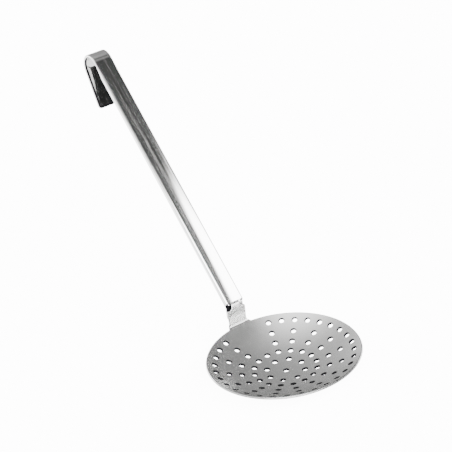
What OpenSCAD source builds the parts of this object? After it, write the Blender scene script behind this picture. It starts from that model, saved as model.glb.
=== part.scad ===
// A perforated skimmer of sheet steel: a shallow round dish with a short neck,
// and a channel-shaped handle that ends in a hanging hook.
// The origin is the lowest point of the dish, under its middle.
// +Z is up along the dish's axis, and the handle rises towards +X.

/* [Dish] */
// Diameter of the dish's mouth, at the inner edge of the rim
mouth_d = 118.3; // [105:0.1:140]
// Depth of the dish inside, from the rim down to the middle
dish_depth = 15.5; // [11:0.1:20]
// Thickness of the dish's sheet
dish_t = 1.8; // [1:0.1:2.4]

/* [Holes] */
// Diameter of each drain hole
hole_d = 4; // [2.5:0.1:4.8]
// Radius of the first ring of holes
ring_r = 14.7; // [12:0.1:16]
// Distance from one ring of holes to the next
ring_pitch = 9.6; // [8:0.1:9.8]
// Number of rings of holes
ring_count = 5; // [2:1:5]
// Distance from the dish's middle to the strip without holes in front of the neck
bare_x = 29; // [20:0.5:50]
// Sheet left between the holes and the neck's sides
bare_edge = 0.6; // [0.2:0.1:2]

/* [Neck] */
// Width of the neck that stands up from the rim
neck_w = 16.3; // [14.5:0.1:20]
// Height of the neck's upright part above the rim
neck_h = 17.7; // [16:0.1:24]
// Distance from the mouth's edge out to the neck's front face
neck_out = 1.25; // [0.9:0.05:2]
// Radius of the neck's bend, on its front face
neck_bend_r = 5; // [4.5:0.1:8]
// Length that the neck's top edge stops short of the end of its bend
neck_short = 0.6; // [0.3:0.05:1]
// Width of the notch in each top corner of the neck
notch_w = 4.5; // [3:0.1:5]
// Distance from the start of the neck's bend down to the notch's bottom
notch_drop = 3.6; // [2.6:0.1:6]
// Radius of the fillet between the neck's root and the rim
root_r = 2.5; // [1:0.1:4]

/* [Handle] */
// Angle that the handle rises at, above the rim's plane
lean = 47.8; // [42:0.1:55]
// Length of the handle, from the neck's bend to the hook's bend
handle_length = 222.6; // [150:0.1:260]
// Width of the handle
handle_w = 15.6; // [14:0.1:18]
// Thickness of the handle's strip
handle_t = 2; // [1.4:0.1:2.4]
// Depth of the turned-back flanges, from the handle's front face
flange_depth = 4.8; // [4.6:0.1:7]
// Outer radius of the flange's bend
flange_r = 1.2; // [0.8:0.1:1.3]
// Length over which the flanges run out below the hook
flange_runout = 11; // [6:1:40]
// Length without flanges between their end and the hook's bend
flange_end = 3; // [2:0.5:8]
// Distance that the flange's lower end reaches behind the neck
flange_foot = 2.4; // [1:0.1:4]
// Radius of the strip's rounded edges at the hook
edge_r = 0.6; // [0.2:0.05:0.65]

/* [Tail] */
// Length of the tail's upright part, which is welded to the neck
tail_length = 12.5; // [8:0.1:15]
// Corner radius of the tail's lower end
tail_r = 3; // [1:0.1:5]
// Clearance between the tail and the neck's bend, and at the seam above it
seam_gap = 0.15; // [0.05:0.01:0.25]

/* [Hook] */
// Inner radius of the hook
hook_r = 10.3; // [7:0.1:14]
// Angle that the hook's bend turns through
hook_angle = 159; // [140:1:179]
// Length of the hook's straight leg
leg_length = 33; // [15:0.1:45]
// Corner radius of the leg's end
leg_r = 2.8; // [1:0.1:6]

/* [Hidden] */
$fn = 96;
cut = 1;

// The dish is part of a sphere
ball_r = (pow(mouth_d / 2, 2) + pow(dish_depth, 2)) / (2 * dish_depth);
ball_z = ball_r + dish_t;
rim_angle = asin(mouth_d / 2 / ball_r);
rim_z = dish_t + dish_depth;
rim_out_r = (ball_r + dish_t) * sin(rim_angle);
spoke_angle = 22.5;

// The neck, seen from the side
neck_x = mouth_d / 2 + neck_out;
neck_back = neck_x + dish_t;
neck_top_z = rim_z + neck_h;
bend_x = neck_x + neck_bend_r;
full_bend = 90 - lean;

// The handle's frame starts where its front face meets the end of the neck's bend
joint_x = bend_x - neck_bend_r * cos(full_bend);
joint_z = neck_top_z + neck_bend_r * sin(full_bend);

// The tail follows the neck's back, a clearance lower
tail_bend_z = neck_top_z - seam_gap / cos(lean);
tail_bend_r = neck_bend_r - dish_t;
tail_n = -dish_t - seam_gap;
web_start = seam_gap - neck_short;
hook_out_r = hook_r + handle_t;

// Points on an arc about x, y, from angle a0 to a1
function arc(x, y, r, a0, a1, n = 6) =
    [for (i = [0:n]) let (a = a0 + (a1 - a0) * i / n) [x + r * cos(a), y + r * sin(a)]];

// A point of the handle's side view, t along it and n out of its front face
function side_point(t, n) =
    [joint_x + t * cos(lean) - n * sin(lean), joint_z + t * sin(lean) + n * cos(lean)];

// A flat bar's section with rounded edges, its front face at height h
function bar_section(w, t, r, h = 0) = concat(
    arc(w / 2 - r, h - r, r, 90, 0),
    arc(w / 2 - r, h + r - t, r, 0, -90),
    arc(r - w / 2, h + r - t, r, -90, -180),
    arc(r - w / 2, h - r, r, 180, 90));

// A channel's section, its front face at height 0 and its flanges turned down
function channel_section(w, t, d, r) = concat(
    arc(w / 2 - r, -r, r, 90, 0),
    arc(w / 2 - t / 2, t / 2 - d, t / 2, 0, -180),
    [[w / 2 - t, -t], [t - w / 2, -t]],
    arc(t / 2 - w / 2, t / 2 - d, t / 2, 0, -180),
    arc(r - w / 2, -r, r, 180, 90));

// Turns a section into a bar along +X, with the section's height towards +Z
module along_x(length) {
    rotate([90, 0, 90]) linear_extrude(length) children();
}

// Turns a side view, drawn in x and z, into a plate of width w about the middle plane
module side_plate(w) {
    translate([0, w / 2, 0]) rotate([90, 0, 0]) linear_extrude(w) children();
}

// Places children drawn in the handle's frame: +X along it, +Z out of its front face
module on_handle() {
    translate([joint_x, 0, joint_z]) rotate([0, -lean, 0]) children();
}

// The dish's outline from above at the neck's root, with a fillet on each side
module root_plan() {
    start_x = mouth_d / 4;
    fillet_y = neck_w / 2 + root_r;
    fillet_x = sqrt(pow(rim_out_r + root_r, 2) - pow(fillet_y, 2));
    touch_y = fillet_y * rim_out_r / (rim_out_r + root_r);
    translate([start_x, -neck_w / 2]) square([neck_back - start_x, neck_w]);
    difference() {
        translate([start_x, -touch_y]) square([fillet_x - start_x, 2 * touch_y]);
        for (side = [-1, 1]) translate([fillet_x, side * fillet_y]) circle(r = root_r);
    }
}

// The dish's sphere, a distance in from its underside, with its poles clear of the dish
module ball(inset) {
    translate([0, 0, ball_z]) rotate([90, 0, 0]) sphere(r = ball_r + dish_t - inset);
}

// The dish's plain shell, with the stub that the neck stands on
module shell() {
    cone_h = ball_z + cut;
    difference() {
        intersection() {
            ball(0);
            union() {
                translate([0, 0, ball_z]) rotate([180, 0, 0])
                    cylinder(h = cone_h, r1 = 0, r2 = cone_h * tan(rim_angle));
                translate([0, 0, dish_t]) linear_extrude(rim_z) root_plan();
            }
        }
        ball(dish_t);
    }
}

// One hole, square to the dish's surface, at radius r and angle a
module hole(r, a) {
    rotate([0, 0, a]) translate([0, 0, ball_z]) rotate([0, 180 - asin(r / ball_r), 0])
        translate([0, 0, ball_r - dish_t]) cylinder(h = 3 * dish_t, d = hole_d);
}

// A hole in the middle, one on every other spoke in the first ring, one on each spoke
// in the next, and twice as many in the fifth, but none in front of the neck
module holes() {
    hole(0, 0);
    for (i = [0:ring_count - 1]) {
        r = ring_r + i * ring_pitch;
        step = i == 0 ? 2 * spoke_angle : i == 4 ? spoke_angle / 2 : spoke_angle;
        for (a = [0:step:360 - step / 2]) {
            bare = r * cos(a) > bare_x
                && r * abs(sin(a)) < neck_w / 2 + hole_d / 2 + bare_edge;
            if (!bare) hole(r, a);
        }
    }
}

// The neck from the side: an upright plate that bends back and stops at the seam
module neck_side() {
    reach = 3 * neck_bend_r;
    translate([neck_x, 0]) square([dish_t, neck_top_z]);
    difference() {
        translate([bend_x, neck_top_z]) circle(r = neck_bend_r);
        translate([bend_x, neck_top_z]) circle(r = neck_bend_r - dish_t);
        translate([neck_x - reach, neck_top_z - 2 * reach]) square(2 * reach);
        polygon([side_point(-neck_short, reach), side_point(reach, reach),
            side_point(reach, -2 * reach), side_point(-neck_short, -2 * reach)]);
    }
}

// A round-bottomed notch in the neck's top corner on one side
module notch(side) {
    notch_r = notch_w / 2;
    depth = 2 * neck_bend_r + 2 * cut;
    translate([neck_x - cut, side * (neck_w / 2 - notch_r), neck_top_z - notch_drop + notch_r]) {
        rotate([0, 90, 0]) cylinder(h = depth, r = notch_r);
        translate([0, -notch_r, 0]) cube([depth, notch_w, depth]);
        translate([0, side > 0 ? 0 : -notch_w, -notch_r]) cube([depth, notch_w, depth]);
    }
}

module neck() {
    difference() {
        intersection() {
            side_plate(neck_w) neck_side();
            ball(dish_t / 2);
        }
        notch(1);
        notch(-1);
    }
}

module dish() {
    color("silver") difference() {
        union() {
            shell();
            neck();
        }
        holes();
    }
}

// The channel, cut back at the neck and with flanges that run out below the hook
module channel() {
    end_x = handle_length - flange_end;
    below = -2 * flange_depth;
    difference() {
        translate([-flange_foot, 0, 0]) along_x(handle_length + flange_foot)
            polygon(channel_section(handle_w, handle_t, flange_depth, flange_r));
        side_plate(2 * handle_w) polygon([[below, cut], [web_start, cut],
            [web_start, -handle_t], [-flange_foot, -flange_depth], [below, below]]);
        side_plate(2 * handle_w) polygon([[handle_length + cut, -handle_t],
            [end_x, -handle_t], [end_x - flange_runout, -flange_depth],
            [end_x - flange_runout, below], [handle_length + cut, below]]);
    }
}

// The tail steps back behind the neck and lies against it
module tail() {
    low_z = tail_bend_z - tail_length;
    bend_mid = neck_back + tail_bend_r;
    side = concat(
        [[neck_back, low_z]],
        arc(bend_mid, tail_bend_z, tail_bend_r, 180, 180 - full_bend, 12),
        [side_point(web_start, tail_n), side_point(web_start, -handle_t / 2),
            side_point(handle_t, -handle_t / 2), side_point(handle_t, tail_n - handle_t)],
        arc(bend_mid, tail_bend_z, tail_bend_r - handle_t, 180 - full_bend, 180, 12),
        [[neck_back + handle_t, low_z]]);
    intersection() {
        side_plate(handle_w) polygon(side);
        translate([0, 0, low_z]) rotate([90, 0, 90]) linear_extrude(4 * neck_x) {
            translate([-handle_w, tail_r]) square([2 * handle_w, 4 * neck_bend_r + tail_length]);
            translate([tail_r - handle_w / 2, 0]) square([handle_w - 2 * tail_r, tail_r]);
            for (s = [-1, 1]) translate([s * (handle_w / 2 - tail_r), tail_r]) circle(r = tail_r);
        }
    }
}

// The hook's round bend
module hook_bend() {
    section = bar_section(handle_w, handle_t, edge_r, hook_out_r);
    rotate([90, 0, 0]) rotate_extrude(angle = hook_angle, start = 90 - hook_angle)
        polygon([for (p = section) [p[1], p[0]]]);
}

// The hook's straight leg, with round corners at its end
module hook_leg() {
    intersection() {
        along_x(leg_length) polygon(bar_section(handle_w, handle_t, edge_r));
        translate([0, 0, -2 * handle_t]) linear_extrude(3 * handle_t) {
            translate([-cut, -handle_w]) square([leg_length + cut - leg_r, 2 * handle_w]);
            translate([0, leg_r - handle_w / 2]) square([leg_length, handle_w - 2 * leg_r]);
            for (side = [-1, 1])
                translate([leg_length - leg_r, side * (handle_w / 2 - leg_r)]) circle(r = leg_r);
        }
    }
}

module handle() {
    color("gainsboro") {
        tail();
        on_handle() {
            channel();
            translate([handle_length, 0, -hook_out_r]) {
                hook_bend();
                rotate([0, hook_angle, 0]) translate([0, 0, hook_out_r]) hook_leg();
            }
        }
    }
}

dish();
handle();
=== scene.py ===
"""The looks of a kitchen skimmer of sheet steel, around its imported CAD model.

The dish and its neck are one pressed, punched sheet. The handle is one folded strip.
Both are rebuilt here as finer meshes on the CAD's own sizes, in the CAD's frame.
"""

import math

import bpy
import bmesh
from mathutils import Matrix, Vector
from mathutils.bvhtree import BVHTree


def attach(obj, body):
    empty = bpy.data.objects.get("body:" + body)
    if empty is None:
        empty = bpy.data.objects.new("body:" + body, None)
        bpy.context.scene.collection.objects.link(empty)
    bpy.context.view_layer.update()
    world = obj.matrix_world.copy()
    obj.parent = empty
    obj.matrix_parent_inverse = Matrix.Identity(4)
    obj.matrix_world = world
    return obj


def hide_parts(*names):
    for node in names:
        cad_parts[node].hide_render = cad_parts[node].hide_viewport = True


bl_info = {
    "name": "Kitchen Skimmer",
    "version": (1, 0, 0),
    "blender": (4, 5, 0),
    "location": "View3D > Sidebar > Skimmer",
    "description": "Builds a perforated sheet-steel skimmer and its studio",
    "category": "Add Mesh",
}

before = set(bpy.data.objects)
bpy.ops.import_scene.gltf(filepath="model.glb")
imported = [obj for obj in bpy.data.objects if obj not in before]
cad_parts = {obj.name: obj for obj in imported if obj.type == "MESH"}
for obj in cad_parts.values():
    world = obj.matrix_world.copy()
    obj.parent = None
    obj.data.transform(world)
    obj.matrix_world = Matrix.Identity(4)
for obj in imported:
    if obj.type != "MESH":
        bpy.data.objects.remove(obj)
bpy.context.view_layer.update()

MM = 0.001
IMAGE_PX = 452

# Where the photograph was taken from, solved from the dish's holes, in the part's frame
CAMERA_AT = Vector((-875.9, 544.6, 663.4))
CAMERA_RIGHT = Vector((-0.55785, -0.81912, -0.13357))
CAMERA_UP = Vector((0.31562, -0.35823, 0.87867))
FOCAL_PX = 1600.0
SENSOR = 36.0

# The joint between neck and handle, in the side view
LEAN = math.radians(47.8)
BEND_TURN = math.pi / 2 - LEAN
SEAM_GAP = 0.15
TAIL_BEND = BEND_TURN * 0.93
# The tail's face is hollow, by this share of the neck's hollow, to seat the neck's back
SEAT_SHARE = 1.25

# The neck's root in the side view, in millimetres from the neck's face and from the rim
CREASE = ((-0.8, 0.24), (-0.42, 0.48), (-0.2, 0.72), (-0.06, 1.05), (0.0, 1.5))
# Above the rim: where the crease follows the rim's arc, where the neck is waisted,
# over what length, and where its hollow starts and is full
BOW_UP, WAIST_UP, WAIST_LENGTH, HOLLOW_UP, HOLLOW_RISE = 1.5, 4.5, 3.5, 1.2, 5.0
ROOT_SHARE = 0.9
BEND_CUT = 0.6

# The drain holes: one in the middle, then this many in each ring
RING_COUNTS = (8, 16, 16, 16, 32)
PUNCH_LENGTH = 12
# The cone that rolls a hole's edge is this many times as tall as the roll is deep
CONE_SHARE = 2.6

# Two faces this near in millimetres are the same face
SAME_FACE = 0.025

# How finely the dish is drawn: across the neck, round the rest of the rim, from the
# middle fan to the rim, up the neck, and round a hole
NECK_COLUMNS, RIM_COLUMNS, DISH_ROWS, NECK_ROW, HOLE_SIDES = 20, 236, 54, 0.7, 40
FAN_R = 0.9

# How far up the flanges' rounded tips the dull sheared edge shows, in millimetres; it is near black,
# partly as the real dull cut and partly as painted shade
CUT_AND_SHADE_SHOW = 0.45
# The share of the strip's thickness that rounds a flange's tip, and its inner bend
TIP_SHARE, INNER_CURVE = 0.8, 0.6
# The channel's lower end leans back by this much for each millimetre of depth, and
# is square again after this length
END_SHEAR, END_SHEAR_LENGTH = 0.55, 12
# The face's hollow is full up to the first place and gone after the second length
HOLLOW_KEPT, HOLLOW_FADE = 20, 150

# Finishes of a mesh's faces, by their place in its list of materials: plain steel, near-black
# painted shade, and the dull cut edge, dark partly as painted shade
PLAIN, PAINTED_SHADE, CUT_EDGE_AND_SHADE = 0, 1, 2
CREASE_ANGLE = math.radians(42)


# Sizes

class DishSizes(bpy.types.PropertyGroup):
    """Sizes of the dish and its neck, in millimetres"""

    mouth_d: bpy.props.FloatProperty(name="Mouth diameter", default=118.3, min=80,
        description="Diameter of the dish's mouth, at the rim's inner edge")
    depth: bpy.props.FloatProperty(name="Depth", default=15.5, min=5,
        description="Depth of the dish inside")
    sheet: bpy.props.FloatProperty(name="Sheet", default=1.8, min=0.5,
        description="Thickness of the dish's sheet")
    edge_r: bpy.props.FloatProperty(name="Edge radius", default=0.42, min=0.05,
        description="Radius that polishing leaves on the cut edges")
    hole_d: bpy.props.FloatProperty(name="Hole diameter", default=4.0, min=1,
        description="Diameter of each drain hole")
    roll: bpy.props.FloatProperty(name="Rolled edge", default=0.4, min=0.05,
        description="Depth of the rolled-over edge round each hole")
    ring_r: bpy.props.FloatProperty(name="First ring", default=14.7, min=5,
        description="Radius of the first ring of holes")
    ring_pitch: bpy.props.FloatProperty(name="Ring pitch", default=9.6, min=5,
        description="Distance from one ring of holes to the next")
    bare_from: bpy.props.FloatProperty(name="Bare strip", default=29.0, min=0,
        description="Distance from the middle at which the bare strip to the neck starts")
    bare_edge: bpy.props.FloatProperty(name="Bare edge", default=0.6, min=0,
        description="Width of sheet between the bare strip and the holes beside it")
    neck_w: bpy.props.FloatProperty(name="Neck width", default=16.3, min=5,
        description="Width of the neck")
    neck_h: bpy.props.FloatProperty(name="Neck height", default=17.7, min=5,
        description="Height of the neck's upright part above the rim")
    neck_out: bpy.props.FloatProperty(name="Neck offset", default=1.25, min=0,
        description="Distance from the mouth's edge out to the neck's face")
    bend_r: bpy.props.FloatProperty(name="Neck bend", default=5.0, min=1,
        description="Radius of the neck's bend, on its face")
    root_r: bpy.props.FloatProperty(name="Root fillet", default=2.5, min=0.5,
        description="Radius of the fillet between neck and rim")
    waist: bpy.props.FloatProperty(name="Waist", default=0.35, min=0,
        description="How far each side of the neck draws in above the rim")
    hollow: bpy.props.FloatProperty(name="Neck hollow", default=0.45, min=0,
        description="Depth of the shallow hollow along the neck's face")
    notch_w: bpy.props.FloatProperty(name="Notch width", default=4.5, min=1,
        description="Width of the notch in each top corner of the neck")
    notch_drop: bpy.props.FloatProperty(name="Notch drop", default=3.6, min=1,
        description="Distance from the start of the neck's bend down to the notch's bottom")


class HandleSizes(bpy.types.PropertyGroup):
    """Sizes of the handle, in millimetres"""

    length: bpy.props.FloatProperty(name="Length", default=222.6, min=50,
        description="Length from the neck's bend to the hook's bend")
    width: bpy.props.FloatProperty(name="Width", default=15.6, min=5,
        description="Width of the handle")
    strip: bpy.props.FloatProperty(name="Strip", default=2.0, min=0.5,
        description="Thickness of the handle's strip")
    flange: bpy.props.FloatProperty(name="Flange depth", default=4.8, min=2,
        description="Depth of the turned-back flanges from the handle's face")
    flange_r: bpy.props.FloatProperty(name="Flange bend", default=1.2, min=0.2,
        description="Outer radius of the flange's bend")
    runout: bpy.props.FloatProperty(name="Run-out", default=11.0, min=2,
        description="Length over which the flanges run out below the hook")
    flange_end: bpy.props.FloatProperty(name="Flange end", default=3.0, min=0,
        description="Length without flanges below the hook's bend")
    edge_r: bpy.props.FloatProperty(name="Edge radius", default=0.6, min=0.1,
        description="Radius of the strip's rounded edges")
    tail_length: bpy.props.FloatProperty(name="Tail length", default=12.5, min=3,
        description="Length of the tail's upright part")
    tail_r: bpy.props.FloatProperty(name="Tail corner", default=3.0, min=0.5,
        description="Corner radius of the tail's lower end")
    hook_r: bpy.props.FloatProperty(name="Hook radius", default=10.3, min=3,
        description="Inner radius of the hook")
    hook_turn: bpy.props.FloatProperty(name="Hook turn", default=math.radians(159), min=1.5,
        subtype="ANGLE", description="Angle that the hook's bend turns through")
    leg: bpy.props.FloatProperty(name="Leg", default=33.0, min=5,
        description="Length of the hook's straight leg")
    leg_r: bpy.props.FloatProperty(name="Leg corner", default=2.8, min=0.5,
        description="Corner radius of the leg's end")
    hollow: bpy.props.FloatProperty(name="Face hollow", default=0.9, min=0,
        description="Depth of the hollow along the face, next to the neck")


class StudioSizes(bpy.types.PropertyGroup):
    """Colours and light levels of the studio"""

    floor_hex: bpy.props.StringProperty(name="Floor", default="FFFFFF",
        description="Colour of the floor, as sRGB hex")
    floor_glow: bpy.props.FloatProperty(name="Floor glow", default=11.0, min=0,
        description="Light that the lit white floor gives off, which keeps it free of shadow")
    floor_near: bpy.props.FloatProperty(name="Floor, near side", default=0.05, min=0,
        description="How bright the steel mirrors the floor on the camera's side")
    floor_far: bpy.props.FloatProperty(name="Floor, far side", default=3.0, min=0,
        description="How bright the steel mirrors the floor behind the skimmer")
    world_level: bpy.props.FloatProperty(name="Surroundings", default=1.0, min=0,
        description="Brightness of the soft lights around the skimmer")


# Helpers

def linear(hex_text):
    """An sRGB hex colour as linear red, green, blue and alpha."""
    parts = [int(hex_text[i:i + 2], 16) / 255 for i in (0, 2, 4)]
    straight = [c / 12.92 if c <= 0.04045 else ((c + 0.055) / 1.055) ** 2.4 for c in parts]
    return (*straight, 1.0)


def add_node(tree, kind, links=(), **settings):
    """Adds a node; settings name its sockets' values or its own options."""
    node = tree.nodes.new(kind)
    for key, value in settings.items():
        if key.startswith("in_"):
            node.inputs[int(key[3:])].default_value = value
        else:
            setattr(node, key, value)
    for source, index in links:
        tree.links.new(source, node.inputs[index])
    return node


def new_piece(name, points, faces, material):
    """A mesh object at the origin from points in millimetres."""
    mesh = bpy.data.meshes.new(name)
    mesh.from_pydata([tuple(c * MM for c in p) for p in points], [], faces)
    mesh.validate()
    piece = bpy.data.objects.new(name, mesh)
    bpy.context.scene.collection.objects.link(piece)
    mesh.materials.append(material)
    for poly in mesh.polygons:
        poly.use_smooth = True
    return piece


def applied(piece):
    """Turns a piece's modifiers into plain mesh."""
    bpy.context.view_layer.update()
    graph = bpy.context.evaluated_depsgraph_get()
    mesh = bpy.data.meshes.new_from_object(piece.evaluated_get(graph))
    piece.modifiers.clear()
    piece.data = mesh
    return mesh


# Finishes

def steel(name, base_hex, roughness, grain, streak):
    """Cold-rolled stainless steel: a white metal whose grain stretches its reflections.

    grain is its turn and the size of its spots along each axis, in metres; streak is
    the share of roughness and brightness that the grain moves.
    """
    mat = bpy.data.materials.new(name)
    mat.use_nodes = True
    tree = mat.node_tree
    shader = tree.nodes["Principled BSDF"]
    shader.inputs["Metallic"].default_value = 1.0
    place = add_node(tree, "ShaderNodeTexCoord")
    turned = add_node(tree, "ShaderNodeMapping", [(place.outputs["Object"], 0)],
        vector_type="TEXTURE", in_2=grain[0], in_3=grain[1])
    noise = add_node(tree, "ShaderNodeTexNoise", [(turned.outputs[0], 0)],
        in_2=1.0, in_3=4.0, in_4=0.6)
    rough = add_node(tree, "ShaderNodeMapRange", [(noise.outputs[0], 0)],
        in_1=0.3, in_2=0.7, in_3=roughness * (1 - streak), in_4=roughness * (1 + streak))
    tone = add_node(tree, "ShaderNodeMix", [(noise.outputs[0], 0)], data_type="RGBA")
    light = linear(base_hex)
    tone.inputs[6].default_value = tuple(c * (1 - 0.35 * streak) for c in light[:3]) + (1,)
    tone.inputs[7].default_value = light
    tree.links.new(rough.outputs[0], shader.inputs["Roughness"])
    tree.links.new(tone.outputs[2], shader.inputs["Base Color"])
    return mat


def finishes():
    """The four finishes of the skimmer, made once."""
    names = ("satin pressed stainless", "polished strip stainless", "near-black painted shade steel",
        "dull cut steel with painted shade")
    if names[0] in bpy.data.materials:
        return [bpy.data.materials[n] for n in names]
    # Pressed 18/10 sheet, tumbled after punching: a soft, even gloss with a faint mottle
    dish = steel("satin pressed stainless", "DEDEDD", 0.24, ((0, 0, 0), (0.004, 0.004, 0.004)), 0.08)
    # Strip polished along its length: streaks some 2 mm wide and 70 mm long
    strip = steel("polished strip stainless", "DEDEDD", 0.08,
        ((0, -LEAN, 0), (0.07, 0.0022, 0.0022)), 0.6)
    # Painted shade: near-black dull steel on the tail's faces that are seen in shade through the
    # neck's notch
    shade_paint = steel("near-black painted shade steel", "17171A", 0.55, ((0, 0, 0), (0.0016, 0.0016, 0.0016)), 0.3)
    # The holes' walls are torn by the punch and never polished: grey and dull. Their near-black grey
    # is partly that and partly painted shade, for the dark walls in the holes and the dark lines
    # along the cut edges
    wall = steel("dull cut steel with painted shade", "262628", 0.6, ((0, 0, 0), (0.001, 0.001, 0.001)), 0.3)
    return [dish, strip, shade_paint, wall]


# Dish and neck

def dish_sheet(s):
    """The front face of the dish and neck as one grid of quads, in millimetres."""
    mouth = s.mouth_d / 2
    ball = (mouth ** 2 + s.depth ** 2) / (2 * s.depth)
    ball_z = ball + s.sheet
    neck_x = mouth + s.neck_out
    top_z = s.sheet + s.depth + s.neck_h
    half = s.neck_w / 2
    columns = NECK_COLUMNS
    root_half = half + s.root_r * ROOT_SHARE
    spread = math.asin(root_half / mouth)
    across = [2 * j / columns - 1 for j in range(columns + 1)]
    neck_angles = [math.asin(t * root_half / mouth) for t in across]
    step = (2 * math.pi - 2 * spread) / RIM_COLUMNS
    angles = neck_angles + [spread + step * k for k in range(1, RIM_COLUMNS)]
    rings = [FAN_R + (mouth - FAN_R) * k / DISH_ROWS for k in range(DISH_ROWS + 1)]
    points, faces = [], []
    for r in rings:
        z = ball_z - math.sqrt(ball ** 2 - r ** 2)
        points += [(r * math.cos(a), r * math.sin(a), z) for a in angles]
    n = len(angles)
    for i in range(len(rings) - 1):
        for j in range(n):
            k = (j + 1) % n
            faces.append((i * n + j, (i + 1) * n + j, (i + 1) * n + k, i * n + k))
    points.append((0, 0, s.sheet))
    faces += [(len(points) - 1, j, (j + 1) % n) for j in range(n)]
    # The neck's side view from the rim: a crease, the upright face and the bend
    rim_z = s.sheet + s.depth
    side = [(neck_x + x, rim_z + z) for x, z in CREASE]
    z = rim_z + 3 * NECK_ROW
    while z < top_z - NECK_ROW / 2:
        side.append((neck_x, z))
        z += NECK_ROW
    turn = BEND_TURN - math.asin(BEND_CUT / s.bend_r)
    for k in range(9):
        a = turn * k / 8
        side.append((neck_x + s.bend_r * (1 - math.cos(a)), top_z + s.bend_r * math.sin(a)))
    rows = [[(len(rings) - 1) * n + j for j in range(columns + 1)]]
    for x, z in side:
        up = z - rim_z
        flare = max(0.0, 1 - up / s.root_r) ** 2 * s.root_r * ROOT_SHARE
        waist = -s.waist * math.exp(-((up - WAIST_UP) / WAIST_LENGTH) ** 2)
        bow = max(0.0, 1 - up / BOW_UP)
        sink = s.hollow * min(1.0, max(0.0, up - HOLLOW_UP) / HOLLOW_RISE)
        row = []
        for t in across:
            y = t * (half + flare + waist)
            arc = math.sqrt(mouth ** 2 - (t * root_half) ** 2) - mouth
            row.append(len(points))
            points.append((x + arc * bow + sink * (1 - t * t), y, z))
        rows.append(row)
    for low, high in zip(rows, rows[1:]):
        for j in range(columns):
            faces.append((low[j], high[j], high[j + 1], low[j + 1]))
    return points, faces, ball, ball_z


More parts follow.
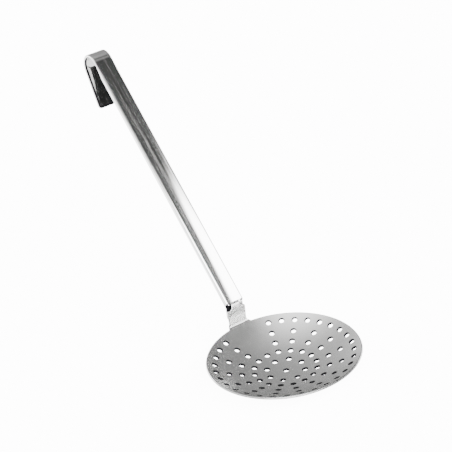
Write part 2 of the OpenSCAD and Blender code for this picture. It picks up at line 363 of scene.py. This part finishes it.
def hole_tree(s, material, ball, ball_z):
    """Geometry Nodes that punch the drain holes, ring by ring, square to the sheet."""
    tree = bpy.data.node_groups.new("drain holes", "GeometryNodeTree")
    face = tree.interface
    face.new_socket("Geometry", in_out="INPUT", socket_type="NodeSocketGeometry")
    names = ("Hole Radius", "First Ring", "Ring Pitch", "Ball Radius", "Ball Height",
        "Bare From", "Bare Half Width", "Rolled Edge")
    for name in names:
        face.new_socket(name, in_out="INPUT", socket_type="NodeSocketFloat")
    face.new_socket("Geometry", in_out="OUTPUT", socket_type="NodeSocketGeometry")
    start = add_node(tree, "NodeGroupInput")
    out = {name: start.outputs[i + 1] for i, name in enumerate(names)}
    rings = add_node(tree, "GeometryNodeJoinGeometry")
    for i, count in enumerate(RING_COUNTS):
        step = add_node(tree, "ShaderNodeMath", [(out["Ring Pitch"], 0), (out["First Ring"], 2)],
            operation="MULTIPLY_ADD", in_1=float(i))
        ring = add_node(tree, "GeometryNodeMeshCircle", [(step.outputs[0], 1)], in_0=count)
        tree.links.new(ring.outputs[0], rings.inputs[0])
    place = add_node(tree, "GeometryNodeInputPosition")
    parts = add_node(tree, "ShaderNodeSeparateXYZ", [(place.outputs[0], 0)])
    far = add_node(tree, "ShaderNodeMath", [(parts.outputs[0], 0), (out["Bare From"], 1)],
        operation="GREATER_THAN")
    size = add_node(tree, "ShaderNodeMath", [(parts.outputs[1], 0)], operation="ABSOLUTE")
    near = add_node(tree, "ShaderNodeMath", [(size.outputs[0], 0), (out["Bare Half Width"], 1)],
        operation="LESS_THAN")
    bare = add_node(tree, "ShaderNodeMath", [(far.outputs[0], 0), (near.outputs[0], 1)],
        operation="MULTIPLY")
    kept = add_node(tree, "GeometryNodeDeleteGeometry",
        [(rings.outputs[0], 0), (bare.outputs[0], 1)], domain="POINT")
    middle = add_node(tree, "GeometryNodePoints", in_0=1)
    as_points = add_node(tree, "GeometryNodeMeshToPoints", [(kept.outputs[0], 0)])
    every = add_node(tree, "GeometryNodeJoinGeometry", [(as_points.outputs[0], 0)])
    tree.links.new(middle.outputs[0], every.inputs[0])
    flat = add_node(tree, "ShaderNodeVectorMath", [(place.outputs[0], 0)], operation="LENGTH")
    share = add_node(tree, "ShaderNodeMath", [(flat.outputs["Value"], 0), (out["Ball Radius"], 1)],
        operation="DIVIDE")
    angle = add_node(tree, "ShaderNodeMath", [(share.outputs[0], 0)], operation="ARCSINE")
    cosine = add_node(tree, "ShaderNodeMath", [(angle.outputs[0], 0)], operation="COSINE")
    drop = add_node(tree, "ShaderNodeMath", [(cosine.outputs[0], 0), (out["Ball Radius"], 1)],
        operation="MULTIPLY")
    height = add_node(tree, "ShaderNodeMath", [(out["Ball Height"], 0), (drop.outputs[0], 1)],
        operation="SUBTRACT")
    lift = add_node(tree, "ShaderNodeCombineXYZ", [(height.outputs[0], 2)])
    seated = add_node(tree, "GeometryNodeSetPosition", [(every.outputs[0], 0), (lift.outputs[0], 3)])
    centre = add_node(tree, "ShaderNodeCombineXYZ", [(out["Ball Height"], 2)])
    away = add_node(tree, "ShaderNodeVectorMath", [(centre.outputs[0], 0), (place.outputs[0], 1)],
        operation="SUBTRACT")
    aim = add_node(tree, "FunctionNodeAlignRotationToVector", [(away.outputs[0], 2)], axis="Z")
    punch = add_node(tree, "GeometryNodeMeshCylinder",
        [(out["Hole Radius"], 3)], in_0=HOLE_SIDES, in_1=1, in_2=1, in_4=PUNCH_LENGTH * MM)
    copies = add_node(tree, "GeometryNodeInstanceOnPoints",
        [(seated.outputs[0], 0), (punch.outputs[0], 2), (aim.outputs[0], 5)])
    solid = add_node(tree, "GeometryNodeRealizeInstances", [(copies.outputs[0], 0)])
    # The punch rolls the sheet's edge over: a shallow cone opens each hole on the inside
    tall = add_node(tree, "ShaderNodeMath", [(out["Rolled Edge"], 0)], operation="MULTIPLY",
        in_1=CONE_SHARE)
    wide = add_node(tree, "ShaderNodeMath", [(out["Hole Radius"], 0), (tall.outputs[0], 1)],
        operation="ADD")
    cone = add_node(tree, "GeometryNodeMeshCone", [(wide.outputs[0], 3),
        (out["Hole Radius"], 4), (tall.outputs[0], 5)], in_0=HOLE_SIDES, in_1=1, in_2=1)
    down = add_node(tree, "ShaderNodeMath", [(out["Rolled Edge"], 0)], operation="MULTIPLY",
        in_1=-1.0)
    shift = add_node(tree, "ShaderNodeCombineXYZ", [(down.outputs[0], 2)])
    sunk = add_node(tree, "GeometryNodeTransform", [(cone.outputs[0], 0)])
    tree.links.new(shift.outputs[0], sunk.inputs["Translation"])
    lips = add_node(tree, "GeometryNodeInstanceOnPoints",
        [(seated.outputs[0], 0), (sunk.outputs[0], 2), (aim.outputs[0], 5)])
    opened = add_node(tree, "GeometryNodeRealizeInstances", [(lips.outputs[0], 0)])
    cut = add_node(tree, "GeometryNodeMeshBoolean",
        [(start.outputs[0], 0), (solid.outputs[0], 1)], operation="DIFFERENCE", solver="EXACT")
    tree.links.new(opened.outputs[0], cut.inputs[1])
    real = add_node(tree, "GeometryNodeRealizeInstances", [(cut.outputs[0], 0)])
    finish = add_node(tree, "GeometryNodeSetMaterial", [(real.outputs[0], 0)])
    finish.inputs[2].default_value = material
    add_node(tree, "NodeGroupOutput", [(finish.outputs[0], 0)])
    values = (s.hole_d / 2 * MM, s.ring_r * MM, s.ring_pitch * MM, ball * MM, ball_z * MM,
        s.bare_from * MM, (s.neck_w / 2 + s.hole_d / 2 + s.bare_edge) * MM, s.roll * MM)
    for item, value in zip([i for i in face.items_tree if i.in_out == "INPUT"][1:], values):
        item.default_value = value
    return tree, values


def notch_cutters(s, material):
    """A round-cornered block for each top corner of the neck."""
    points, faces = [], []
    top_z = s.sheet + s.depth + s.neck_h
    r = s.notch_w / 2
    start = s.mouth_d / 2 + s.neck_out - s.sheet
    far, beside = 14, s.neck_w / 2 + 3
    for side in (-1, 1):
        inner, low = s.neck_w / 2 - s.notch_w, top_z - s.notch_drop
        outline = [(inner, low + far)]
        outline += [(inner + r - r * math.cos(a), low + r - r * math.sin(a))
            for a in [math.pi / 2 * k / 10 for k in range(11)]]
        outline += [(beside, low), (beside, low + far)]
        first, n = len(points), len(outline)
        for x in (start, start + far):
            points += [(x, side * y, z) for y, z in outline]
        faces += [(first + k, first + (k + 1) % n, first + n + (k + 1) % n, first + n + k)
            for k in range(n)]
        faces += [tuple(first + k for k in range(n)), tuple(first + n + k for k in range(n))]
    piece = new_piece("notch_blocks", points, faces, material)
    tidy_normals(piece.data)
    return piece


def tidy_normals(mesh):
    """Merges doubles and turns every face outwards."""
    work = bmesh.new()
    work.from_mesh(mesh)
    bmesh.ops.remove_doubles(work, verts=work.verts, dist=1e-7)
    bmesh.ops.recalc_face_normals(work, faces=work.faces)
    work.to_mesh(mesh)
    work.free()


def keep_smooth(mesh, plain, ball, ball_z, sheet):
    """Gives the punched sheet its true normals, and marks the holes' walls."""
    tree = BVHTree.FromPolygons([v.co for v in plain.vertices],
        [tuple(p.vertices) for p in plain.polygons])
    centre = Vector((0, 0, ball_z * MM))
    corner = [Vector(c.vector) for c in plain.corner_normals]
    normals = [None] * len(mesh.loops)
    for poly in mesh.polygons:
        _, direct, index, gap = tree.find_nearest(poly.center)
        on_sheet = gap < SAME_FACE * MM and direct.dot(poly.normal) > 0.8
        old = plain.polygons[index]
        from_centre = poly.center - centre
        radius = from_centre.length / MM
        for loop in poly.loop_indices:
            where = mesh.vertices[mesh.loops[loop].vertex_index].co
            if not on_sheet:
                normals[loop] = poly.normal.copy()
            elif abs(radius - ball) < SAME_FACE and poly.normal.dot(from_centre) < 0:
                normals[loop] = (centre - where).normalized()
            elif abs(radius - ball - sheet) < SAME_FACE and poly.normal.dot(from_centre) > 0:
                normals[loop] = (where - centre).normalized()
            else:
                total = Vector()
                for i in old.loop_indices:
                    d = (plain.vertices[plain.loops[i].vertex_index].co - where).length + 1e-7
                    total += corner[i] / d ** 2
                normals[loop] = total.normalized()
        # Faces off the sheet, the holes' walls and rolled lips, take the dull cut finish, dark
        # partly as painted shade inside the holes
        poly.material_index = old.material_index if on_sheet else 1
    mesh.normals_split_custom_set([tuple(v) for v in normals])


class SKIMMER_OT_dish(bpy.types.Operator):
    """Builds the pressed dish with its neck and punches its drain holes"""

    bl_idname = "skimmer.dish"
    bl_label = "Dish and neck"

    def execute(self, context):
        s = context.scene.skimmer_dish
        satin, cut_edge_and_shade_finish = finishes()[0], finishes()[3]
        points, faces, ball, ball_z = dish_sheet(s)
        piece = new_piece("dish_sheet", points, faces, satin)
        piece.data.materials.append(cut_edge_and_shade_finish)
        wall = piece.modifiers.new("sheet", "SOLIDIFY")
        wall.thickness = s.sheet * MM
        wall.offset = -1.0
        wall.use_even_offset = True
        edge = piece.modifiers.new("edge", "BEVEL")
        edge.width = s.edge_r * MM
        edge.segments = 3
        edge.limit_method = "ANGLE"
        edge.angle_limit = CREASE_ANGLE
        edge.harden_normals = True
        # The rounded cut edges take the dull cut finish, dark partly as painted shade along the rim
        # and the neck's edges
        edge.material = 1
        blocks = notch_cutters(s, satin)
        notch = piece.modifiers.new("notch", "BOOLEAN")
        notch.object = blocks
        notch.operation = "DIFFERENCE"
        notch.solver = "EXACT"
        plain = applied(piece)
        bpy.data.objects.remove(blocks)
        tree, values = hole_tree(s, satin, ball, ball_z)
        holes = piece.modifiers.new("holes", "NODES")
        holes.node_group = tree
        inputs = [i for i in tree.interface.items_tree if i.in_out == "INPUT"][1:]
        for item, value in zip(inputs, values):
            holes[item.identifier] = value
        punched = applied(piece)
        punched.materials.clear()
        punched.materials.append(satin)
        punched.materials.append(cut_edge_and_shade_finish)
        keep_smooth(punched, plain, ball, ball_z, s.sheet)
        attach(piece, "root")
        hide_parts("dish")
        return {"FINISHED"}


# Handle

def strip_section(width, depth, strip, corner, hollow):
    """A section across the strip, as (y, n) points; n is out of the face.

    depth is the flanges' depth; at the strip's own thickness there is no flange.
    """
    half = width / 2
    flange = max(depth - strip, 0.0)
    tip = strip / 2 * TIP_SHARE if flange else min(corner, strip / 2)
    right = [(half - corner + corner * math.sin(a), -corner + corner * math.cos(a))
        for a in [math.pi / 2 * k / 6 for k in range(1, 7)]]
    low = -max(depth, strip)
    right += [(half, low + tip)]
    right += [(half - tip + tip * math.cos(a), low + tip - tip * math.sin(a))
        for a in [math.pi / 2 * k / 4 for k in range(1, 5)]]
    inner = half - strip
    right += [(inner + tip - tip * math.sin(a), low + tip - tip * math.cos(a))
        for a in [math.pi / 2 * k / 4 for k in range(0, 5)]]
    curve = min(INNER_CURVE, 0.75 * flange)
    right += [(inner - curve + curve * math.cos(a), -strip - curve + curve * math.sin(a))
        for a in [math.pi / 2 * k / 3 for k in range(0, 4)]]
    face_half = half - corner
    back_half = inner - curve
    count = 14
    front = [face_half * (2 * k / count - 1) for k in range(count + 1)]
    back = [back_half * (1 - 2 * k / count) for k in range(1, count)]
    ring = [(y, -hollow * (1 - (y / face_half) ** 2)) for y in front]
    ring += right
    ring += [(y, -strip - hollow * (1 - (y / face_half) ** 2) * 0.6) for y in back]
    ring += [(-y, n) for y, n in reversed(right)]
    return ring


def strip_stations(d, s):
    """The strip's path: for each station its face's place, direction and section."""
    neck_x = d.mouth_d / 2 + d.neck_out
    back_x = neck_x + d.sheet
    top_z = d.sheet + d.depth + d.neck_h
    joint = Vector((neck_x + d.bend_r * (1 - math.cos(BEND_TURN)), 0,
        top_z + d.bend_r * math.sin(BEND_TURN)))
    along = Vector((math.cos(LEAN), 0, math.sin(LEAN)))
    out = Vector((-math.sin(LEAN), 0, math.cos(LEAN)))
    stations = []

    # The last flag marks the tail's stations whose front faces on the left get painted shade
    def put(place, heading, width, depth, hollow=0.0, shear=0.0, corner=None, shade_paint=0):
        stations.append((place, heading, width, depth, hollow, shear, corner or s.edge_r, shade_paint))

    up = math.pi / 2
    low_z = top_z - SEAM_GAP / math.cos(LEAN) - s.tail_length
    seat = d.hollow * SEAT_SHARE
    for k in range(9):
        a = math.pi / 2 * k / 8
        put(Vector((back_x, 0, low_z + s.tail_r * (1 - math.cos(a)))), up,
            s.width - 2 * s.tail_r * (1 - math.sin(a)), s.strip, seat)
    for k in range(1, 7):
        rise = s.tail_r + (s.tail_length - s.tail_r) * k / 6
        put(Vector((back_x, 0, low_z + rise)), up, s.width, s.strip, seat, shade_paint=k > 2)
    bend = d.bend_r - d.sheet
    for k in range(1, 7):
        a = TAIL_BEND * k / 6
        put(Vector((back_x + bend * (1 - math.cos(a)), 0,
            low_z + s.tail_length + bend * math.sin(a))), up - a, s.width, s.strip, seat,
            shade_paint=1)
    step_n = -d.sheet - SEAM_GAP
    start = -0.45
    put(joint + along * (start - 0.05) + out * step_n, LEAN, s.width, s.strip, seat, shade_paint=1)
    put(joint + along * start + out * -0.6, LEAN, s.width, s.strip, corner=0.4, shade_paint=1)
    put(joint + along * (start + 0.02) + out * -0.25, LEAN, s.width, s.flange,
        shear=END_SHEAR, corner=0.6, shade_paint=1)
    run = [start + 0.2, 0.4, 1.2, 2.4, 4, 6, 8.5, 11.5, 15, 19, 24, 30, 37, 45, 55, 68, 82, 98, 115,
        132, 150, 168, 184, 196, 204]
    end = s.length - s.flange_end
    for t in run:
        gone = min(1.0, max(0.0, (t - HOLLOW_KEPT) / HOLLOW_FADE))
        fade = 0.5 * (1 + math.cos(math.pi * gone))
        shear = END_SHEAR * max(0.0, 1 - t / END_SHEAR_LENGTH)
        put(joint + along * t, LEAN, s.width, s.flange, s.hollow * fade, shear, s.flange_r)
    for k in range(9):
        share = k / 8
        depth = s.flange - (s.flange - s.strip) * share
        corner = s.flange_r + (s.edge_r - s.flange_r) * share
        put(joint + along * (end - s.runout * (1 - share)), LEAN, s.width, depth, 0, 0, corner)
    put(joint + along * (s.length - 0.3), LEAN, s.width, s.strip)
    outer = s.hook_r + s.strip
    middle = joint + along * s.length - out * outer
    turn = s.hook_turn
    for k in range(37):
        a = turn * k / 36
        spoke = along * math.sin(a) + out * math.cos(a)
        put(middle + spoke * outer, LEAN - a, s.width, s.strip)
    foot = middle + along * math.sin(turn) * outer + out * math.cos(turn) * outer
    way = along * math.cos(turn) - out * math.sin(turn)
    for k in range(1, 12):
        put(foot + way * (s.leg - s.leg_r) * k / 11, LEAN - turn, s.width, s.strip)
    for k in range(1, 9):
        a = math.pi / 2 * k / 8
        put(foot + way * (s.leg - s.leg_r + s.leg_r * math.sin(a)), LEAN - turn,
            s.width - 2 * s.leg_r * (1 - math.cos(a)), s.strip)
    return stations


class SKIMMER_OT_handle(bpy.types.Operator):
    """Folds the strip into the tail, the channel-shaped handle and its hook"""

    bl_idname = "skimmer.handle"
    bl_label = "Handle"

    def execute(self, context):
        s = context.scene.skimmer_handle
        polished, shade_paint = finishes()[1:3]
        points, faces, dark = [], [], []
        stations = strip_stations(context.scene.skimmer_dish, s)
        size, tips, front = 0, set(), set()
        for place, heading, width, depth, hollow, shear, corner, marked in stations:
            along = Vector((math.cos(heading), 0, math.sin(heading)))
            out = Vector((-math.sin(heading), 0, math.cos(heading)))
            ring = strip_section(width, depth, s.strip, corner, hollow)
            size = len(ring)
            if marked:
                front = {j for j, (y, n) in enumerate(ring) if n > -0.6 * s.strip}
            # The flange tips near their edge take the dull cut finish, dark partly as painted shade
            if depth == s.flange:
                tips = {j for j, (y, n) in enumerate(ring) if n < -depth + CUT_AND_SHADE_SHOW}
            for y, n in ring:
                points.append(place + along * (shear * n) + out * n + Vector((0, y, 0)))
        for i in range(len(stations) - 1):
            for j in range(size):
                k = (j + 1) % size
                faces.append((i * size + j, i * size + k, (i + 1) * size + k, (i + 1) * size + j))
                # Front faces on the left of the flagged tail stations get painted shade, for the
                # shade seen through the neck's notch
                left = points[i * size + j].y + points[i * size + k].y > 0
                in_painted_shade = stations[i][7] and stations[i + 1][7] and left and {j, k} <= front
                dark.append(PAINTED_SHADE if in_painted_shade else CUT_EDGE_AND_SHADE if {j, k} <= tips else PLAIN)
        faces.append(tuple(reversed(range(size))))
        last = (len(stations) - 1) * size
        faces.append(tuple(last + k for k in range(size)))
        # The tail's lower end takes painted shade; the leg's end takes the dull cut edge, dark
        # partly as painted shade
        dark += [PAINTED_SHADE, CUT_EDGE_AND_SHADE]
        piece = new_piece("handle_strip", points, faces, polished)
        piece.data.materials.append(shade_paint)
        piece.data.materials.append(finishes()[3])
        for poly, mark in zip(piece.data.polygons, dark):
            poly.material_index = mark
        tidy_normals(piece.data)
        edge = piece.modifiers.new("creases", "EDGE_SPLIT")
        edge.split_angle = CREASE_ANGLE
        mesh = applied(piece)
        work = bmesh.new()
        work.from_mesh(mesh)
        bmesh.ops.remove_doubles(work, verts=work.verts, dist=1e-7)
        for line in work.edges:
            line.smooth = line.calc_face_angle(0) <= CREASE_ANGLE
        work.to_mesh(mesh)
        work.free()
        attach(piece, "root")
        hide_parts("handle")
        return {"FINISHED"}


# Studio

# What the steel mirrors, in build order: direction, change and how tightly it is gathered.
# A positive change adds light; a negative one is a dark flag that takes that share away.
SURROUNDINGS = (
    ((-0.006, 0.245, 0.969), 3.04, 9.7),
    ((0.984, 0.123, 0.128), 1.49, 26.7),
    ((-0.031, -0.396, 0.918), -0.70, 60.0),
    ((-0.60, -0.75, 0.30), 0.30, 8.0),
    ((-0.46, -0.42, 0.78), -0.85, 45.0),
    ((-0.856, -0.416, 0.30), -0.93, 14.0),
)
# The even light that all of these stand in: its slope by direction, and its level's logarithm
SLOPE, SLOPE_LEVEL = (0.371, 0.913, 0.0), -0.605
# The strip light on the camera's side. Each edge is an axis with its dark and lit ends.
STRIP_LEVEL = 18.0
STRIP_EDGES = (
    ((0, 0, 1), 0.42, 0.58),
    ((0.672, 0, 0.741), 0.222, 0.172),
    ((-0.643, 0.290, -0.709), -0.3165, -0.2643),
    ((1, 0, 0), -0.20, -0.35),
)


# The floor, in millimetres: its reach, and the direction and the edge beyond which the
# steel mirrors its brighter far side
FLOOR_REACH, FLOOR_DROP = 6000, -0.05
FLOOR_AWAY, FLOOR_EDGE = (0.3, 0.95, 0.0), (55, 90)


def soft_studio(level):
    """A world of soft lights around the skimmer, set by direction alone."""
    world = bpy.data.worlds.new("soft studio")
    world.use_nodes = True
    tree = world.node_tree
    place = add_node(tree, "ShaderNodeTexCoord")
    way = add_node(tree, "ShaderNodeVectorMath", [(place.outputs["Generated"], 0)],
        operation="NORMALIZE")

    def towards(direction):
        node = add_node(tree, "ShaderNodeVectorMath", [(way.outputs[0], 0)],
            operation="DOT_PRODUCT", in_1=Vector(direction).normalized())
        return node.outputs["Value"]

    def lobe(direction, height, tightness):
        less = add_node(tree, "ShaderNodeMath", [(towards(direction), 0)],
            operation="MULTIPLY_ADD", in_1=tightness, in_2=-tightness)
        rise = add_node(tree, "ShaderNodeMath", [(less.outputs[0], 0)], operation="EXPONENT")
        return add_node(tree, "ShaderNodeMath", [(rise.outputs[0], 0)],
            operation="MULTIPLY", in_1=height).outputs[0]

    slope = add_node(tree, "ShaderNodeVectorMath", [(way.outputs[0], 0)],
        operation="DOT_PRODUCT", in_1=SLOPE)
    lifted = add_node(tree, "ShaderNodeMath", [(slope.outputs["Value"], 0)],
        operation="ADD", in_1=SLOPE_LEVEL)
    light = add_node(tree, "ShaderNodeMath", [(lifted.outputs[0], 0)],
        operation="EXPONENT").outputs[0]
    for direction, change, tightness in SURROUNDINGS:
        if change > 0:
            light = add_node(tree, "ShaderNodeMath", [(light, 0),
                (lobe(direction, change, tightness), 1)], operation="ADD").outputs[0]
        else:
            left = add_node(tree, "ShaderNodeMath", [(lobe(direction, change, tightness), 0)],
                operation="ADD", in_1=1.0)
            light = add_node(tree, "ShaderNodeMath", [(light, 0), (left.outputs[0], 1)],
                operation="MULTIPLY").outputs[0]
    strip = None
    for axis, dark_end, lit_end in STRIP_EDGES:
        edge = add_node(tree, "ShaderNodeMapRange", [(towards(axis), 0)],
            interpolation_type="SMOOTHSTEP", in_1=dark_end, in_2=lit_end)
        strip = edge.outputs[0] if strip is None else add_node(tree, "ShaderNodeMath",
            [(strip, 0), (edge.outputs[0], 1)], operation="MULTIPLY").outputs[0]
    light = add_node(tree, "ShaderNodeMath", [(strip, 0), (light, 2)],
        operation="MULTIPLY_ADD", in_1=STRIP_LEVEL).outputs[0]
    shine = tree.nodes["Background"]
    shine.inputs[0].default_value = (1, 1, 1, 1)
    tree.links.new(add_node(tree, "ShaderNodeMath", [(light, 0)], operation="MULTIPLY",
        in_1=level).outputs[0], shine.inputs[1])
    return world


def floor_finish(s):
    """Lit white paper, dimmer where the steel mirrors it than where it is seen."""
    mat = bpy.data.materials.new("lit white floor")
    mat.use_nodes = True
    tree = mat.node_tree
    paper = tree.nodes["Principled BSDF"]
    paper.inputs["Base Color"].default_value = linear(s.floor_hex)
    paper.inputs["Roughness"].default_value = 1.0
    paper.inputs["Specular IOR Level"].default_value = 0.0
    paper.inputs["Emission Color"].default_value = (1, 1, 1, 1)
    place = add_node(tree, "ShaderNodeTexCoord")
    away = add_node(tree, "ShaderNodeVectorMath", [(place.outputs["Object"], 0)],
        operation="DOT_PRODUCT", in_1=FLOOR_AWAY)
    mirrored = add_node(tree, "ShaderNodeMapRange", [(away.outputs["Value"], 0)],
        interpolation_type="SMOOTHSTEP", in_1=FLOOR_EDGE[0] * MM, in_2=FLOOR_EDGE[1] * MM,
        in_3=s.floor_near, in_4=s.floor_far)
    ray = add_node(tree, "ShaderNodeLightPath")
    glow = add_node(tree, "ShaderNodeMix", [(ray.outputs["Is Camera Ray"], 0),
        (mirrored.outputs[0], 2)], data_type="FLOAT", in_3=s.floor_glow)
    tree.links.new(glow.outputs[0], paper.inputs["Emission Strength"])
    return mat


class SKIMMER_OT_stage(bpy.types.Operator):
    """Lays the floor and sets the light and the camera"""

    bl_idname = "skimmer.stage"
    bl_label = "Studio"

    def execute(self, context):
        s = context.scene.skimmer_studio
        scene = context.scene
        corners = [(x * FLOOR_REACH, y * FLOOR_REACH, FLOOR_DROP)
            for x, y in ((-1, -1), (1, -1), (1, 1), (-1, 1))]
        floor = new_piece("floor", corners, [(0, 1, 2, 3)], floor_finish(s))
        scene.world = soft_studio(s.world_level)
        view = bpy.data.cameras.new("camera")
        view.sensor_width = SENSOR
        view.sensor_fit = "HORIZONTAL"
        view.lens = FOCAL_PX / IMAGE_PX * SENSOR
        view.clip_start, view.clip_end = 0.05, 30
        eye = bpy.data.objects.new("camera", view)
        back = CAMERA_RIGHT.cross(CAMERA_UP)
        basis = Matrix((CAMERA_RIGHT, CAMERA_UP, back)).transposed().to_4x4()
        eye.matrix_world = Matrix.Translation(CAMERA_AT * MM) @ basis
        scene.collection.objects.link(eye)
        scene.camera = eye
        return {"FINISHED"}


class SKIMMER_PT_panel(bpy.types.Panel):
    """The skimmer's pieces and studio, in build order"""

    bl_label = "Skimmer"
    bl_idname = "SKIMMER_PT_panel"
    bl_space_type = "VIEW_3D"
    bl_region_type = "UI"
    bl_category = "Skimmer"

    def draw(self, context):
        for operator in (SKIMMER_OT_dish, SKIMMER_OT_handle, SKIMMER_OT_stage):
            self.layout.operator(operator.bl_idname)


CLASSES = (DishSizes, HandleSizes, StudioSizes, SKIMMER_OT_dish, SKIMMER_OT_handle,
    SKIMMER_OT_stage, SKIMMER_PT_panel)


def register():
    for cls in CLASSES:
        bpy.utils.register_class(cls)
    bpy.types.Scene.skimmer_dish = bpy.props.PointerProperty(type=DishSizes)
    bpy.types.Scene.skimmer_handle = bpy.props.PointerProperty(type=HandleSizes)
    bpy.types.Scene.skimmer_studio = bpy.props.PointerProperty(type=StudioSizes)


def unregister():
    del bpy.types.Scene.skimmer_dish
    del bpy.types.Scene.skimmer_handle
    del bpy.types.Scene.skimmer_studio
    for cls in reversed(CLASSES):
        bpy.utils.unregister_class(cls)


def main():
    """Builds every piece in order."""
    register()
    bpy.ops.skimmer.dish()
    bpy.ops.skimmer.handle()
    bpy.ops.skimmer.stage()


if __name__ == "__main__":
    main()
